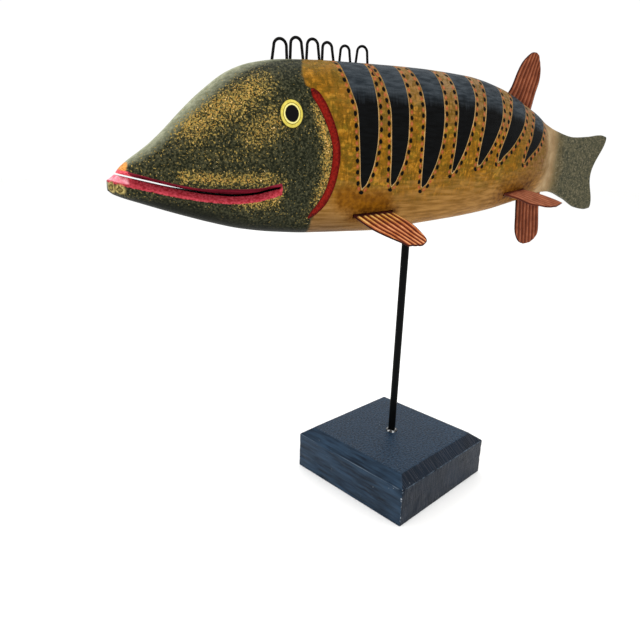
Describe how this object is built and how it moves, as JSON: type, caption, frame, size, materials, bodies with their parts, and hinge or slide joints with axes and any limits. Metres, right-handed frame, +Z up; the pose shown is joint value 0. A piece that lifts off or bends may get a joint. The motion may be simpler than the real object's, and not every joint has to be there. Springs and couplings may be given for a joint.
{
  "type": "fish decoy",
  "caption": "Carved and painted wooden fish with fluted fins, a cut mouth and wire line loops on its back, on a black rod and a bevelled square block.",
  "frame": {"origin": "centre of the block's underside, below the rod", "axes": "+Z up along the rod, +X from the snout to the tail, -Y out of the fish's left side"},
  "size_m": [0.3348, 0.1138, 0.2763],
  "materials": {
    "painted_body": "painted and varnished, ochre with dark bars and a speckled dark green head",
    "painted_fin": "copper and red-brown stain over carved ribs",
    "brown_fin": "brown stain over carved ribs",
    "painted_eye": "gloss paint, yellow ring round a black pupil",
    "blackened_wire": "satin black",
    "black_rod": "satin black",
    "black_block": "satin black paint with the grain and saw marks showing"
  },
  "bodies": {
    "root": {"fish_body": "painted_body", "pectoral_fin_left": "painted_fin", "pelvic_fin_left": "painted_fin", "eye_left": "painted_eye", "pectoral_fin_right": "painted_fin", "pelvic_fin_right": "painted_fin", "eye_right": "painted_eye", "dorsal_fin": "brown_fin", "anal_fin": "brown_fin", "wire_loop_1": "blackened_wire", "wire_loop_2": "blackened_wire", "wire_loop_3": "blackened_wire", "wire_loop_4": "blackened_wire", "wire_loop_5": "blackened_wire", "wire_loop_6": "blackened_wire", "stand_rod": "black_rod", "stand_base": "black_block"}
  },
  "joints": []
}
